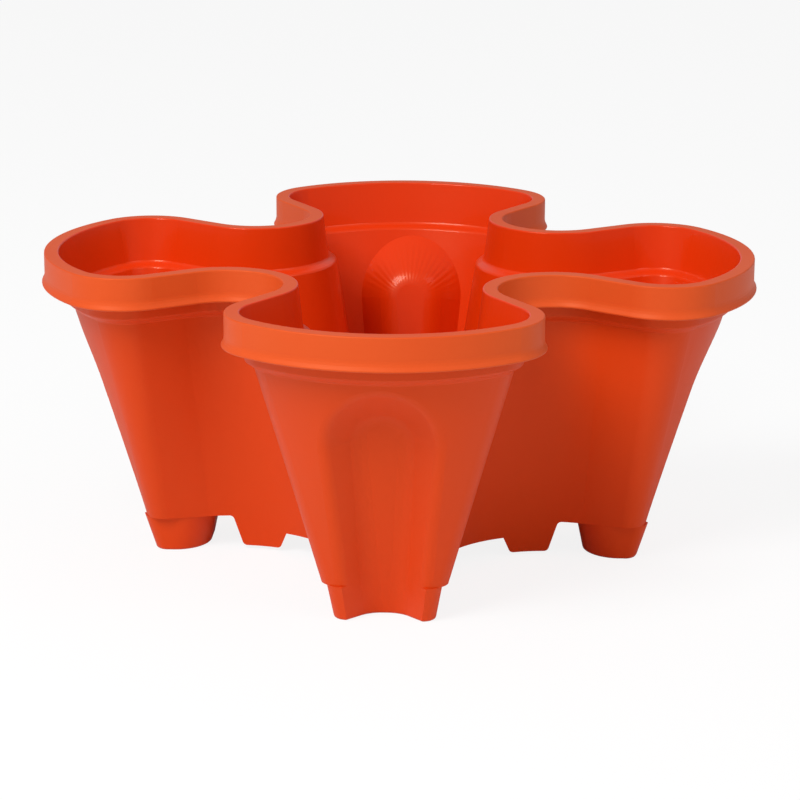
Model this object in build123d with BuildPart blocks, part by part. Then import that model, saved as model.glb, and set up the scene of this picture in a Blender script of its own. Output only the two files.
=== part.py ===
from build123d import *
import os
from dataclasses import dataclass
from math import acos, atan2, cos, hypot, pi, radians, sin, sqrt, tan

# One tier of a stacking strawberry planter: a thin moulded pot with four lobes on the X and Y axes,
# and the round drain grid that drops into the middle of its floor.
# Millimetres, +Z up. The origin is on the ground under the centre of the pot.

# Overall size
lobes = 4
height = 150.5
lobe_reach = 174.5
wall = 2.2

# Plan of the lip, as arcs that run tangent to each other
lobe_half_width = 72.2
nose_radius = 95.5
corner_radius = 29.8
neck_reach = 82.4
side_run = 23.6

# Lip and the band that hangs from it
lip_width = 7.0
lip_rounding = 0.7
band_depth = 15.8
band_flare_height = 5.0
band_flare = 2.0
band_flare_steps = 4
band_edge_rounding = 0.7

# Wall above the ledge, and the ledge itself
ledge_top_depth = 22.3
ledge_drop = 3.0
upper_wall_inset = 9.2
upper_wall_neck_inset = 6.7
body_inset = 13.4
body_neck_inset = 10.8
inner_ledge_top_depth = 22.0
inner_ledge_drop = 1.9
ledge_rounding = 1.5

# Foot of the drafted body, at the underside of the floor
floor_underside = 18.2
base_reach = 128.2
base_half_width = 29.8
base_nose_radius = 75.0
base_corner_radius = 9.0
base_neck_reach = 53.9
base_side_run = 20.6

# Skirt below the floor, with a tab on both side walls of each lobe.
# The tabs go inside the lip of the pot below, turned by half a lobe, where its neck comes closest.
valley_edge = 10.5
tab_edge = 1.9
tab_lip_clearance = 1.4
tab_outer_taper = 5.0
tab_inner_top = 54.0
tab_inner_taper = 3.4
tab_rounding = 2.5
slot_ceiling_lead = 4.0

# Foot cup under the nose of each lobe. It hangs outside the lip of the pot below.
foot_step = 2.9
foot_side_taper = 3.1
foot_lip_clearance = 7.6
foot_inner_taper = 3.7
foot_inner_rounding = 18.0
foot_side_straight = 1.0
foot_nose_taper = 6.0
foot_corner_radius = 6.0
foot_edge_rounding = 1.6

# Channel down the outside of each nose: a round-headed trough with a flat floor and sloping flanks
channel_head_gap = 1.0
channel_depth = 15.0
channel_floor_half_head = 11.5
channel_flank_head = 35.4
channel_depth_bottom = 13.6
channel_floor_half_bottom = 6.5
channel_flank_bottom = 46.0
channel_blend = 13.0
channel_clear_of_nose = 6.0
channel_wall = 2.9
channel_edge_rounding = 6.0

# Drain grid and its seat in the middle of the floor
grid_diameter = 72.0
grid_thickness = 2.6
grid_clearance = 0.5
grid_seat_width = 4.0
grid_hole_diameter = 4.6
grid_finger_hole = 12.0
grid_rings = 3
grid_first_ring = 14.0
grid_ring_step = 7.8
grid_first_count = 12
grid_count_step = 6

# Drain holes in the bottom of each foot cup
foot_hole_diameter = 5.0
foot_hole_spacing = 12.0
foot_hole_count = 3

# Levels that follow from the sizes above
floor_top = floor_underside + wall
ledge_top = height - ledge_top_depth
ledge_bottom = ledge_top - ledge_drop
inner_ledge_top = height - inner_ledge_top_depth
inner_ledge_bottom = inner_ledge_top - inner_ledge_drop
band_foot = height - band_depth
flare_top = band_foot + band_flare_height
lip_underside = height - wall
tab_outer_top = neck_reach - tab_lip_clearance
tab_outer_bottom = tab_outer_top - tab_outer_taper
tab_inner_bottom = tab_inner_top + tab_inner_taper
foot_half_width_top = base_half_width - foot_step
foot_half_width_bottom = foot_half_width_top - foot_side_taper
foot_inner_top = neck_reach + foot_lip_clearance
foot_inner_bottom = foot_inner_top + foot_inner_taper
foot_reach_bottom = base_reach - foot_nose_taper
grid_seat = floor_top - grid_thickness
grid_bore = grid_diameter / 2 + grid_clearance
foot_hole_reach = foot_inner_bottom + wall + foot_hole_diameter
overlap = 1.0
tolerance = 0.001


@dataclass(frozen=True)
class LobeOutline:
    """Plan outline of the four lobes; every lobe is the same and is symmetric about its axis."""

    reach: float
    half_width: float
    nose: float
    corner: float
    neck_reach: float
    side: float

    def inset(self, distance, neck_distance=None):
        """Return the outline further in by one distance, and by another at the middle of the necks."""
        return LobeOutline(
            self.reach - distance,
            self.half_width - distance,
            self.nose - distance,
            self.corner - distance,
            self.neck_reach - (distance if neck_distance is None else neck_distance),
            self.side,
        )

    def toward(self, other, share):
        """Return the outline at a share of the way to another one."""
        mix = [a + share * (b - a) for a, b in zip(self.values(), other.values())]
        return LobeOutline(*mix)

    def values(self):
        """Return the sizes in the order of the fields."""
        return self.reach, self.half_width, self.nose, self.corner, self.neck_reach, self.side

    def half_lobe(self):
        """Return the points and arc middles of half a lobe, from its nose to the middle of the neck."""
        nose_x = self.reach - self.nose
        corner_y = self.half_width - self.corner
        corner_x = nose_x + sqrt((self.nose - self.corner) ** 2 - corner_y**2)
        joint = atan2(corner_y, corner_x - nose_x)
        # The neck arc's centre lies on the diagonal, where a straight side of the given run fits
        # between the corner arc and a neck arc of the given reach
        gap = self.corner - self.neck_reach
        centre = (corner_x**2 + corner_y**2 - gap**2 - self.side**2) / (
            2 * (corner_x + corner_y) + 2 * sqrt(2) * gap
        )
        neck = centre * sqrt(2) - self.neck_reach
        to_neck = (centre - corner_x, centre - corner_y)
        side = atan2(to_neck[1], to_neck[0]) - acos((self.corner + neck) / hypot(*to_neck))

        def on_nose(angle):
            return nose_x + self.nose * cos(angle), self.nose * sin(angle)

        def on_corner(angle):
            return corner_x + self.corner * cos(angle), corner_y + self.corner * sin(angle)

        def on_neck(angle):
            return centre - neck * cos(angle), centre - neck * sin(angle)

        return [
            (on_nose(0), on_nose(joint / 2), on_nose(joint)),
            (on_nose(joint), on_corner((joint + side) / 2), on_corner(side)),
            (on_corner(side), None, on_neck(side)),
            (on_neck(side), on_neck((side + pi / 4) / 2), on_neck(pi / 4)),
        ]


def lobed_face(outline, level):
    """Return the outline as a flat face at a level."""
    with BuildSketch(Plane.XY.offset(level)) as sketch:
        with BuildLine():
            for start, middle, end in outline.half_lobe():
                if middle:
                    ThreePointArc(start, middle, end)
                else:
                    Line(start, end)
            mirror(about=Plane(origin=(0, 0, 0), z_dir=(1, -1, 0)))
            mirror(about=Plane.YZ)
            mirror(about=Plane.XZ)
        make_face()
    return sketch.sketch


lip_outline = LobeOutline(
    lobe_reach, lobe_half_width, nose_radius, corner_radius, neck_reach, side_run
)
upper_wall_outline = lip_outline.inset(upper_wall_inset, upper_wall_neck_inset)
ledge_outline = lip_outline.inset(body_inset, body_neck_inset)
base_outline = LobeOutline(
    base_reach,
    base_half_width,
    base_nose_radius,
    base_corner_radius,
    base_neck_reach,
    base_side_run,
)


def body_outline(level):
    """Return the outer outline of the drafted body at a level."""
    share = (ledge_bottom - level) / (ledge_bottom - floor_underside)
    return ledge_outline.toward(base_outline, share)


def foot_face(level, inset=0.0):
    """Return the plan of one foot cup on the +X lobe at a level, which tapers towards the ground."""
    share = (floor_underside - level) / floor_underside
    half_width = foot_half_width_top + share * (foot_half_width_bottom - foot_half_width_top) - inset
    inner = foot_inner_top + share * (foot_inner_bottom - foot_inner_top) + inset
    reach = base_reach + share * (foot_reach_bottom - base_reach) - inset
    corner = foot_corner_radius - inset
    nose = base_nose_radius - inset
    nose_x = reach - nose
    corner_y = half_width - corner
    corner_x = nose_x + sqrt((nose - corner) ** 2 - corner_y**2)
    rounding = min(foot_inner_rounding - inset, corner_x - inner - foot_side_straight)
    joint = atan2(corner_y, corner_x - nose_x)
    bend = (joint + pi / 2) / 2
    turn = cos(pi / 4)
    joint_point = (nose_x + nose * cos(joint), nose * sin(joint))
    with BuildSketch(Plane.XY.offset(level)) as sketch:
        with BuildLine():
            ThreePointArc(
                (reach, 0), (nose_x + nose * cos(joint / 2), nose * sin(joint / 2)), joint_point
            )
            ThreePointArc(
                joint_point,
                (corner_x + corner * cos(bend), corner_y + corner * sin(bend)),
                (corner_x, half_width),
            )
            Line((corner_x, half_width), (inner + rounding, half_width))
            ThreePointArc(
                (inner + rounding, half_width),
                (inner + rounding * (1 - turn), half_width - rounding * (1 - turn)),
                (inner, half_width - rounding),
            )
            Line((inner, half_width - rounding), (inner, 0))
            mirror(about=Plane.XZ)
        make_face()
    return sketch.sketch


def trough_points(floor_half, flank, rise, blend):
    """Return the half section of the channel: floor end, blend middle, flank start and flank top."""
    angle = radians(flank)
    reach = blend * tan(angle / 2)
    floor_end = (floor_half - reach, 0)
    blend_middle = (floor_end[0] + blend * sin(angle / 2), blend * (1 - cos(angle / 2)))
    flank_start = (floor_half + reach * cos(angle), reach * sin(angle))
    flank_top = (floor_half + rise / tan(angle), rise)
    return floor_end, blend_middle, flank_start, flank_top


def trough_face(plane, floor_half, flank, rise, blend, whole=True):
    """Return the channel's section on a plane, whole or one half of it."""
    floor_end, blend_middle, flank_start, flank_top = trough_points(floor_half, flank, rise, blend)
    with BuildSketch(plane) as sketch:
        with BuildLine():
            Line((0, 0), floor_end)
            ThreePointArc(floor_end, blend_middle, flank_start)
            Line(flank_start, flank_top)
            Line(flank_top, (0, rise))
            if whole:
                mirror(about=Plane.YZ)
            else:
                Line((0, rise), (0, 0))
        make_face()
    return sketch.sketch


nose_lean = atan2(ledge_outline.reach - base_outline.reach, ledge_bottom - floor_underside)
head_radius = channel_floor_half_head + channel_depth / tan(radians(channel_flank_head))
head_level = ledge_bottom - channel_head_gap - head_radius * cos(nose_lean)
head_reach = body_outline(head_level).reach - channel_depth / cos(nose_lean)
channel_reach_bottom = foot_reach_bottom - channel_depth_bottom
channel_lean = atan2(head_reach - channel_reach_bottom, head_level)


def channel_solid(offset):
    """Return the channel on the +X lobe as a solid, its faces moved a steady offset into the pot."""
    outward = Vector(cos(channel_lean), 0, -sin(channel_lean))
    head = Vector(head_reach, 0, head_level) - outward * offset
    head_plane = Plane(
        origin=head, x_dir=(0, 1, 0), z_dir=(-sin(channel_lean), 0, -cos(channel_lean))
    )
    bottom_plane = Plane(
        origin=(channel_reach_bottom - offset, 0, -overlap), x_dir=(0, 1, 0), z_dir=(0, 0, -1)
    )
    rise = channel_depth + channel_clear_of_nose + offset
    blend = channel_blend + offset
    head_half = channel_floor_half_head + offset * tan(radians(channel_flank_head) / 2)
    bottom_half = channel_floor_half_bottom + offset * tan(radians(channel_flank_bottom) / 2)
    with BuildPart() as channel:
        loft(
            sections=[
                trough_face(head_plane, head_half, channel_flank_head, rise, blend),
                trough_face(bottom_plane, bottom_half, channel_flank_bottom, rise, blend),
            ],
            ruled=True,
        )
        add(trough_face(head_plane, head_half, channel_flank_head, rise, blend, whole=False))
        revolve(axis=Axis(tuple(head), tuple(outward)), revolution_arc=180)
    return channel.part


def level_edges(part, level):
    """Return the edges of a part that lie flat at a level."""
    return part.edges().filter_by(
        lambda edge: max(abs((edge @ 0).Z - level), abs((edge @ 0.5).Z - level)) < tolerance
    )


channel_outside = channel_solid(0.0)
channel_inside = channel_solid(channel_wall)

# Space inside the pot: the drafted body and foot cups, less the bosses behind the channels
with BuildPart() as hollow:
    loft(
        sections=[
            lobed_face(body_outline(floor_top).inset(wall), floor_top),
            lobed_face(ledge_outline.inset(wall), inner_ledge_bottom),
        ],
        ruled=True,
    )
    with PolarLocations(0, lobes):
        add(
            loft(
                sections=[foot_face(wall, wall), foot_face(floor_top, wall)],
                ruled=True,
                mode=Mode.PRIVATE,
            )
        )
    with PolarLocations(0, lobes):
        add(channel_inside, mode=Mode.SUBTRACT)
    loft(
        sections=[
            lobed_face(upper_wall_outline.inset(wall), inner_ledge_top),
            lobed_face(ledge_outline.inset(wall), inner_ledge_bottom),
        ],
        ruled=True,
    )
    loft(
        sections=[
            lobed_face(upper_wall_outline.inset(wall), inner_ledge_top),
            lobed_face(lip_outline.inset(lip_width), height),
        ],
        ruled=True,
    )

# What is cut away below the floor, all round the tabs and the valleys between them
with BuildPart() as below_floor:
    with BuildSketch(Plane.XY.offset(-overlap)):
        Rectangle(2 * lobe_reach, 2 * lobe_reach)
    extrude(amount=floor_underside + overlap)
    for side in (Plane.XZ, Plane.YZ):
        with BuildSketch(side) as tab_section:
            with BuildLine():
                tab_line = FilletPolyline(
                    (tab_inner_top, floor_top),
                    (tab_inner_top, valley_edge),
                    (tab_inner_bottom, tab_edge),
                    (tab_outer_bottom, tab_edge),
                    (tab_outer_top, floor_underside),
                    (tab_outer_top + slot_ceiling_lead, floor_underside),
                    radius=tab_rounding,
                )
                Polyline(
                    tab_line @ 1, (tab_outer_top + slot_ceiling_lead, floor_top), tab_line @ 0
                )
            make_face()
            mirror(about=Plane.YZ)
        extrude(amount=lobe_half_width, both=True, mode=Mode.SUBTRACT)
    with BuildSketch(Plane.XY.offset(valley_edge)):
        Rectangle(2 * tab_inner_top, 2 * tab_inner_top)
    extrude(amount=floor_underside - valley_edge, mode=Mode.SUBTRACT)

with BuildPart() as planter_shell:
    # Drafted body, hollow below the floor with upright inner faces, the skirt and tabs left standing
    loft(
        sections=[
            lobed_face(body_outline(tab_edge), tab_edge),
            lobed_face(ledge_outline, ledge_bottom),
        ],
        ruled=True,
    )
    extrude(
        lobed_face(body_outline(tab_edge).inset(wall), tab_edge - overlap),
        amount=floor_underside - tab_edge + overlap,
        mode=Mode.SUBTRACT,
    )
    add(below_floor, mode=Mode.SUBTRACT)
    # Foot cups and the channels down the noses
    foot_cup = loft(
        sections=[foot_face(0), foot_face(floor_underside)], ruled=True, mode=Mode.PRIVATE
    )
    with PolarLocations(0, lobes):
        add(foot_cup)
    with PolarLocations(0, lobes):
        add(channel_outside, mode=Mode.SUBTRACT)
    channel_edge_middles = [
        edge @ 0.5
        for edge in planter_shell.edges(Select.LAST).filter_by(GeomType.BSPLINE)
        if min((edge @ 0).Z, (edge @ 1).Z) > floor_underside - tolerance
        and floor_underside + overlap < max((edge @ 0).Z, (edge @ 1).Z) < head_level
    ]
    # Lip, and the band that hangs from it and flares at its foot
    extrude(lobed_face(lip_outline, flare_top), amount=height - flare_top)
    flare_shares = [step / band_flare_steps for step in range(band_flare_steps + 1)]
    loft(
        sections=[
            lobed_face(
                lip_outline.inset(-band_flare * (1 - share) ** 2),
                band_foot + share * band_flare_height,
            )
            for share in flare_shares
        ],
        ruled=True,
    )
    extrude(
        lobed_face(lip_outline.inset(wall), flare_top),
        amount=lip_underside - flare_top,
        mode=Mode.SUBTRACT,
    )
    loft(
        sections=[
            lobed_face(lip_outline.inset(wall - band_flare), band_foot),
            lobed_face(lip_outline.inset(wall), flare_top),
        ],
        ruled=True,
        mode=Mode.SUBTRACT,
    )
    # Wall above the ledge, and the ledge
    loft(
        sections=[
            lobed_face(upper_wall_outline, ledge_top),
            lobed_face(lip_outline.inset(lip_width - wall), lip_underside),
        ],
        ruled=True,
    )
    loft(
        sections=[
            lobed_face(ledge_outline, ledge_bottom),
            lobed_face(upper_wall_outline, ledge_top),
        ],
        ruled=True,
    )
    add(hollow, mode=Mode.SUBTRACT)
    # Seat for the drain grid, let into the middle of the floor
    with BuildSketch(Plane.XY.offset(grid_seat - wall)):
        Circle(grid_bore + wall)
    extrude(amount=floor_top - grid_seat + wall)
    with BuildSketch(Plane.XY.offset(grid_seat)):
        Circle(grid_bore)
    extrude(amount=floor_top - grid_seat, mode=Mode.SUBTRACT)
    with BuildSketch(Plane.XY.offset(grid_seat - wall)):
        Circle(grid_bore - grid_seat_width)
    extrude(amount=wall, mode=Mode.SUBTRACT)
    # Drain holes in the foot cups
    with BuildSketch(Plane.XY):
        with PolarLocations(foot_hole_reach, lobes):
            with GridLocations(foot_hole_spacing, foot_hole_spacing, 1, foot_hole_count):
                Circle(foot_hole_diameter / 2)
    extrude(amount=wall, mode=Mode.SUBTRACT)

    # Rounded edges: where each channel runs out into the wall, and both sides of the ledge
    channel_edges = planter_shell.edges().filter_by(
        lambda edge: any((edge @ 0.5 - middle).length < tolerance for middle in channel_edge_middles)
    )
    fillet(channel_edges, channel_edge_rounding)
    for level in (ledge_top, ledge_bottom, inner_ledge_top, inner_ledge_bottom):
        fillet(level_edges(planter_shell, level), ledge_rounding)
    # Rounded edges: lip, foot of the band, and the ground edge of each foot cup
    fillet(planter_shell.faces().sort_by(Axis.Z)[-1].edges(), lip_rounding)
    band_edge = planter_shell.faces().filter_by(Plane.XY).filter_by(
        lambda face: abs(face.center().Z - band_foot) < tolerance
    )
    fillet(band_edge.edges(), band_edge_rounding)
    ground = planter_shell.faces().filter_by(Plane.XY).filter_by(
        lambda face: abs(face.center().Z) < tolerance
    )
    fillet([edge for face in ground for edge in face.outer_wire().edges()], foot_edge_rounding)

# Flat perforated disc that lies in the seat
with BuildPart() as drain_grid:
    with BuildSketch(Plane.XY.offset(grid_seat)):
        Circle(grid_diameter / 2)
        Circle(grid_finger_hole / 2, mode=Mode.SUBTRACT)
        for ring in range(grid_rings):
            ring_radius = grid_first_ring + ring * grid_ring_step
            with PolarLocations(ring_radius, grid_first_count + ring * grid_count_step):
                Circle(grid_hole_diameter / 2, mode=Mode.SUBTRACT)
    extrude(amount=grid_thickness)

os.makedirs("parts", exist_ok=True)
for name, piece in (("planter_shell", planter_shell), ("drain_grid", drain_grid)):
    piece.part.label = name
    export_step(piece.part, f"parts/{name}.step")
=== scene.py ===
"""Looks for one tier of a stacking strawberry planter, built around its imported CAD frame.

The pot is one orange-red moulding with a fine matt grain outside and polished walls inside.
Every length is in metres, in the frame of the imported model: +Z up, origin on the ground.
"""

import logging
from dataclasses import dataclass
from math import cos, radians, sin
from typing import Any

import bpy
from mathutils import Matrix, Vector

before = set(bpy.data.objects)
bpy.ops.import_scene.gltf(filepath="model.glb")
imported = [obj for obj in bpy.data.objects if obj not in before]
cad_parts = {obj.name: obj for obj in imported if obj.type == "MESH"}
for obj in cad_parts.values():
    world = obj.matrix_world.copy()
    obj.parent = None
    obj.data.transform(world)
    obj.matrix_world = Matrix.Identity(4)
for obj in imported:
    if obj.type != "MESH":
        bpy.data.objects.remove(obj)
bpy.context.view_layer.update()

log = logging.getLogger("planter")

Colour = tuple[float, float, float, float]


class Value:
    """One socket of a shader, wrapped so that Python expressions build Math nodes."""

    def __init__(self, tree: "ShaderTree", socket: bpy.types.NodeSocket) -> None:
        """Keep the tree and the socket that holds the value.

        Args:
            tree: The shader tree that new nodes go into.
            socket: The output socket that carries the value.
        """
        self.tree = tree
        self.socket = socket

    def _math(self, operation: str, *values: Any) -> "Value":
        """Return the result of one Math node.

        Args:
            operation: The Math node's operation.
            values: Its inputs, as numbers or Values.

        Returns:
            The node's output.
        """
        inputs = dict(enumerate(values))
        return self.tree.node("ShaderNodeMath", {"operation": operation}, inputs)

    def __add__(self, other: Any) -> "Value":
        """Add."""
        return self._math("ADD", self, other)

    __radd__ = __add__

    def __sub__(self, other: Any) -> "Value":
        """Subtract."""
        return self._math("SUBTRACT", self, other)

    def __rsub__(self, other: Any) -> "Value":
        """Subtract from a number."""
        return self._math("SUBTRACT", other, self)

    def __mul__(self, other: Any) -> "Value":
        """Multiply."""
        return self._math("MULTIPLY", self, other)

    __rmul__ = __mul__

    def __pow__(self, other: Any) -> "Value":
        """Raise to a power."""
        return self._math("POWER", self, other)

    def compared(self, operation: str, other: Any) -> "Value":
        """Return the result of a Math node that weighs this value against another.

        Args:
            operation: The Math node's operation.
            other: A number or a Value.

        Returns:
            The node's output.
        """
        return self._math(operation, self, other)

    def clamped(self) -> "Value":
        """Return the value held between 0 and 1."""
        return self._math("MAXIMUM", self._math("MINIMUM", self, 1.0), 0.0)


class ShaderTree:
    """The node tree of one material or world."""

    def __init__(self, owner: bpy.types.Material | bpy.types.World) -> None:
        """Empty the owner's tree.

        Args:
            owner: The material or world whose tree is filled.
        """
        owner.use_nodes = True
        self.nodes = owner.node_tree.nodes
        self.links = owner.node_tree.links
        self.nodes.clear()

    def node(self, kind: str, settings: dict, inputs: dict, output: Any = 0) -> Value:
        """Add a node of any kind.

        Args:
            kind: The node's type.
            settings: Its settings, which are set before its sockets.
            inputs: Socket name or number to a number, a colour or a Value.
            output: Name or number of the output that is wanted.

        Returns:
            The wanted output.
        """
        made = self.nodes.new(kind)
        for name, setting in settings.items():
            setattr(made, name, setting)
        for name, given in inputs.items():
            socket = made.inputs[name]
            if isinstance(given, Value):
                self.links.new(given.socket, socket)
            else:
                socket.default_value = given
        return Value(self, made.outputs[output]) if made.outputs else Value(self, None)


@dataclass
class FoldedPlan:
    """Object coordinates and normal, folded so that all eight half lobes share one set of values."""

    tree: ShaderTree
    lobe_core: float = 0.090
    edge_sharpness: float = 4000.0

    def __post_init__(self) -> None:
        """Work out the folded values."""
        x, y, self.z = self.split("Object")
        normal_x, normal_y, _ = self.split("Normal")
        across, along = self.absolute(x), self.absolute(y)
        on_x = across.compared("GREATER_THAN", along)
        facing_x = normal_x * self.sign(x)
        facing_y = normal_y * self.sign(y)
        self.out = across.compared("MAXIMUM", along)
        self.side = across.compared("MINIMUM", along)
        self.facing_out = on_x * facing_x + (1.0 - on_x) * facing_y
        self.facing_side = on_x * facing_y + (1.0 - on_x) * facing_x

    def split(self, output: str) -> list[Value]:
        """Return the three parts of one output of the Texture Coordinate node.

        Args:
            output: The output's name.

        Returns:
            Its X, Y and Z.
        """
        whole = self.tree.node("ShaderNodeTexCoord", {}, {}, output)
        return [
            self.tree.node("ShaderNodeSeparateXYZ", {}, {0: whole}, axis) for axis in ("X", "Y", "Z")
        ]

    def absolute(self, value: Value) -> Value:
        """Return a value without its sign."""
        return self.tree.node("ShaderNodeMath", {"operation": "ABSOLUTE"}, {0: value})

    def sign(self, value: Value) -> Value:
        """Return the sign of a value."""
        return self.tree.node("ShaderNodeMath", {"operation": "SIGN"}, {0: value})

    def inside(self) -> Value:
        """Return 1 on the walls' inner faces and 0 on their outer faces and flat tops."""
        beyond = (self.out - self.lobe_core).compared("MAXIMUM", 0.0)
        facing = self.facing_out * beyond + self.facing_side * self.side
        return (facing * -self.edge_sharpness).clamped()

    def step(self, value: Value, start: float, end: float) -> Value:
        """Return a smooth step from 0 to 1 as a value goes from one number to another.

        Args:
            value: What is followed.
            start: Where the step is 0.
            end: Where the step is 1.

        Returns:
            The step.
        """
        return self.tree.node(
            "ShaderNodeMapRange",
            {"interpolation_type": "SMOOTHSTEP"},
            {"Value": value, "From Min": start, "From Max": end},
        )


@dataclass(frozen=True)
class MouldedPlastic:
    """Orange-red polypropylene as the mould leaves it: matt and grained outside, polished inside."""

    name: str
    outside: Colour = (0.64, 0.050, 0.004, 1.0)
    inside: Colour = (0.72, 0.036, 0.001, 1.0)
    # The lip and band colour is paler than the body: a painted sheen of the light from above.
    painted_lip_sheen: Colour = (0.64, 0.078, 0.013, 1.0)
    outside_roughness: float = 0.50
    inside_roughness: float = 0.32
    specular_level: float = 0.40
    specular_tint: Colour = (1.0, 0.58, 0.34, 1.0)
    polish: float = 0.12
    polish_roughness: float = 0.07
    # Height and blend where the painted sheen on the lip and band begins.
    painted_sheen_level: float = 0.1345
    painted_sheen_blend: float = 0.0008
    patch_turns: tuple[float, float, float] = (14.0, 14.0, 9.0)
    patch_roughness: float = 0.10
    patch_start: float = 0.35
    patch_share: float = 0.6
    patch_depth: float = 0.90
    grain_size: float = 0.0006
    grain_height: float = 0.00004
    flow_line_width: float = 0.0022
    flow_line_height: float = 0.00005
    flow_line_turns: float = 5.0
    pleat_count: float = 44.0
    pleat_height: float = 0.00006
    pleat_start: tuple[float, float] = (0.006, 0.020)
    pleat_end: tuple[float, float] = (0.022, 0.030)
    pleat_rise: float = 0.010
    boss_head_level: float = 0.093
    boss_reach: tuple[float, float] = (0.122, 0.126)

    def material(self) -> bpy.types.Material:
        """Return the material of this surface."""
        made = bpy.data.materials.new(self.name)
        tree = ShaderTree(made)
        plan = FoldedPlan(tree)
        inside = plan.inside()
        height = self.relief(tree, plan, inside)
        normal = tree.node(
            "ShaderNodeBump", {}, {"Strength": 1.0, "Distance": 1.0, "Height": height}
        )
        patch = self.noise(tree, self.patch_turns, 2.0)
        roughness = (
            self.outside_roughness
            + inside * (self.inside_roughness - self.outside_roughness)
            + (patch - 0.5) * self.patch_roughness
        )
        surface = tree.node(
            "ShaderNodeBsdfPrincipled",
            {},
            {
                "Base Color": self.colour(tree, plan, inside, patch),
                "Roughness": roughness,
                "Specular IOR Level": self.specular_level,
                "Specular Tint": self.specular_tint,
                "Coat Weight": inside * self.polish,
                "Coat Roughness": self.polish_roughness,
                "Normal": normal,
            },
        )
        tree.node("ShaderNodeOutputMaterial", {}, {"Surface": surface})
        return made

    def colour(self, tree: ShaderTree, plan: FoldedPlan, inside: Value, patch: Value) -> Value:
        """Return the colour: the lip and band paler with a painted sheen of the light from above,
        and deeper inside.

        Args:
            tree: The material's tree.
            plan: The folded coordinates.
            inside: 1 on the inner faces.
            patch: Slow noise about 0.5.

        Returns:
            The colour.
        """
        blend = self.painted_sheen_blend
        # Painted sheen: above this level the colour turns paler, standing in for the light from
        # above on the band and lip top.
        level = plan.step(plan.z, self.painted_sheen_level - blend, self.painted_sheen_level + blend)
        outer_with_sheen = self.mixed(tree, level, self.outside, self.painted_lip_sheen)
        both = self.mixed(tree, inside, outer_with_sheen, self.inside)
        deeper = tuple(self.patch_depth * part for part in self.inside[:3]) + (1.0,)
        share = (patch - self.patch_start).clamped() * self.patch_share
        return self.mixed(tree, share, both, deeper)

    def relief(self, tree: ShaderTree, plan: FoldedPlan, inside: Value) -> Value:
        """Return the surface relief: grain outside, flow lines and pleats inside.

        Args:
            tree: The material's tree.
            plan: The folded coordinates.
            inside: 1 on the inner faces.

        Returns:
            The height in metres.
        """
        fine = 1.0 / self.grain_size
        grain = self.noise(tree, (fine, fine, fine), 2.0) * self.grain_height * (1.0 - inside)
        streak = 1.0 / self.flow_line_width
        turns = (streak, streak, self.flow_line_turns)
        lines = self.noise(tree, turns, 1.0) * self.flow_line_height * inside
        rise = plan.z - self.boss_head_level
        turn = tree.node("ShaderNodeMath", {"operation": "ARCTAN2"}, {0: plan.side, 1: rise})
        wave = tree.node("ShaderNodeMath", {"operation": "COSINE"}, {0: turn * self.pleat_count})
        radius = (plan.side * plan.side + rise * rise) ** 0.5
        begun = plan.step(radius, *self.pleat_start)
        ended = plan.step(radius, *self.pleat_end)
        above = plan.step(rise, 0.0, self.pleat_rise)
        on_nose = plan.step(plan.out, *self.boss_reach)
        where = begun * (1.0 - ended) * above * on_nose
        return grain + lines + wave * where * inside * self.pleat_height

    @staticmethod
    def noise(tree: ShaderTree, scales: tuple[float, float, float], detail: float) -> Value:
        """Return noise of its own scale along each axis.

        Args:
            tree: The material's tree.
            scales: Turns of the noise per metre, along X, Y and Z.
            detail: Layers of finer noise.

        Returns:
            The noise, about 0.5.
        """
        place = tree.node("ShaderNodeTexCoord", {}, {}, "Object")
        scaled = tree.node("ShaderNodeMapping", {}, {"Vector": place, "Scale": scales})
        return tree.node(
            "ShaderNodeTexNoise", {}, {"Vector": scaled, "Scale": 1.0, "Detail": detail}, 0
        )

    @staticmethod
    def mixed(tree: ShaderTree, share: Value, first: Any, second: Any) -> Value:
        """Return a mix of two colours.

        Args:
            tree: The material's tree.
            share: 0 gives the first colour and 1 the second.
            first: A colour or a Value.
            second: A colour or a Value.

        Returns:
            The mixed colour.
        """
        return tree.node(
            "ShaderNodeMix", {"data_type": "RGBA"}, {"Factor": share, 6: first, 7: second}, 2
        )


@dataclass(frozen=True)
class PackedPiece:
    """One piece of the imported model, with the finish that it wears."""

    node: str
    finish: MouldedPlastic

    def dress(self) -> None:
        """Give the piece its finish in place of the plain one."""
        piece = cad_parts[self.node]
        piece.data.materials.clear()
        piece.data.materials.append(self.finish.material())
        log.info("dressed %s", self.node)


@dataclass(frozen=True)
class StudioLight:
    """A soft rectangular lamp that points at the middle of the pot."""

    name: str
    azimuth: float
    elevation: float
    distance: float
    width: float
    power: float

    def hang(self, target: Vector) -> None:
        """Hang the lamp.

        Args:
            target: The point that it faces.
        """
        turn, rise = radians(self.azimuth), radians(self.elevation)
        back = Vector((sin(turn) * cos(rise), -cos(turn) * cos(rise), sin(rise)))
        place = target + self.distance * back
        data = bpy.data.lights.new(self.name, "AREA")
        data.shape = "SQUARE"
        data.size = self.width
        data.energy = self.power
        lamp = bpy.data.objects.new(self.name, data)
        lamp.location = place
        lamp.rotation_euler = (-back).to_track_quat("-Z", "Y").to_euler()
        bpy.context.scene.collection.objects.link(lamp)


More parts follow.
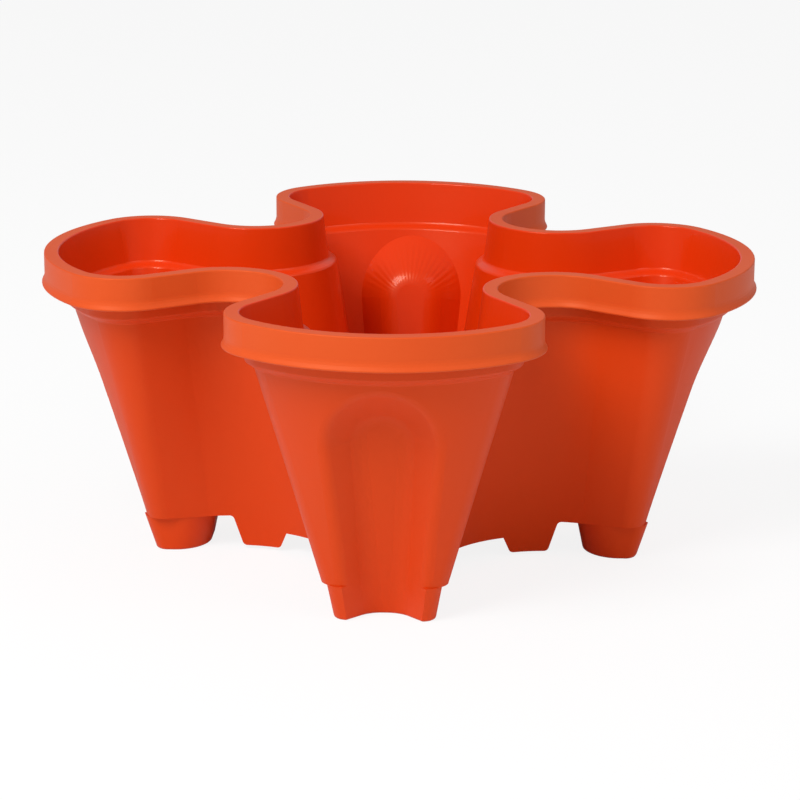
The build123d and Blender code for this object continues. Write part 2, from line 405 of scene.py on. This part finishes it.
@dataclass
class Studio:
    """White floor, white surroundings, soft lamps and the camera."""

    floor_size: float = 12.0
    floor_white: float = 0.90
    floor_glow: float = 0.86
    surroundings_light: float = 0.45
    camera_place: tuple[float, float, float] = (0.0661, -1.3461, 0.4532)
    camera_target: tuple[float, float, float] = (0.00107, 0.00005, 0.07346)
    camera_lens: float = 126.05
    camera_roll: float = 0.00464
    sensor_width: float = 36.0
    lamp_target: tuple[float, float, float] = (0.0, 0.0, 0.09)
    lamps: tuple[StudioLight, ...] = (
        StudioLight("key_lamp", -34, 46, 2.0, 0.8, 31.0),
        StudioLight("fill_lamp", 55, 40, 2.4, 1.2, 8.0),
    )

    def build(self) -> None:
        """Set up the whole studio."""
        self.place_camera()
        self.lay_floor()
        self.light_surroundings()
        for lamp in self.lamps:
            lamp.hang(Vector(self.lamp_target))
        bpy.context.scene.view_settings.view_transform = "Standard"

    def place_camera(self) -> None:
        """Place the camera where the photograph was taken from."""
        data = bpy.data.cameras.new("camera")
        data.lens = self.camera_lens
        data.sensor_width = self.sensor_width
        camera = bpy.data.objects.new("camera", data)
        place, target = Vector(self.camera_place), Vector(self.camera_target)
        look = (target - place).to_track_quat("-Z", "Y").to_matrix()
        roll = Matrix.Rotation(self.camera_roll, 3, "Z")
        camera.matrix_world = Matrix.Translation(place) @ (look @ roll).to_4x4()
        bpy.context.scene.collection.objects.link(camera)
        bpy.context.scene.camera = camera

    def lay_floor(self) -> None:
        """Lay the white floor, which glows a little for the camera and keeps the shadow."""
        bpy.ops.mesh.primitive_plane_add(size=self.floor_size)
        floor = bpy.context.active_object
        floor.name = "studio_floor"
        made = bpy.data.materials.new("studio_floor_white")
        tree = ShaderTree(made)
        white = (self.floor_white, self.floor_white, self.floor_white, 1.0)
        plain = tree.node("ShaderNodeBsdfDiffuse", {}, {"Color": white})
        glow = tree.node("ShaderNodeEmission", {}, {"Color": (1, 1, 1, 1), "Strength": 1.0})
        seen = tree.node("ShaderNodeLightPath", {}, {}, "Is Camera Ray")
        mixed = tree.node("ShaderNodeMixShader", {}, {0: seen * self.floor_glow, 1: plain, 2: glow})
        tree.node("ShaderNodeOutputMaterial", {}, {"Surface": mixed})
        floor.data.materials.append(made)

    def light_surroundings(self) -> None:
        """Light the pot evenly from all round, and show white behind it."""
        world = bpy.data.worlds.new("surroundings")
        bpy.context.scene.world = world
        tree = ShaderTree(world)
        paths = [
            tree.node("ShaderNodeLightPath", {}, {}, name)
            for name in ("Is Camera Ray", "Is Transmission Ray")
        ]
        seen = (paths[0] + paths[1]).clamped()
        strength = seen + (1.0 - seen) * self.surroundings_light
        light = tree.node(
            "ShaderNodeBackground", {}, {"Color": (1, 1, 1, 1), "Strength": strength}
        )
        tree.node("ShaderNodeOutputWorld", {}, {"Surface": light})


def main() -> None:
    """Dress the pot and set up the studio."""
    logging.basicConfig(level=logging.INFO)
    PackedPiece("planter_shell", MouldedPlastic("pot_plastic")).dress()
    PackedPiece("drain_grid", MouldedPlastic("grid_plastic")).dress()
    Studio().build()


if __name__ == "__main__":
    main()
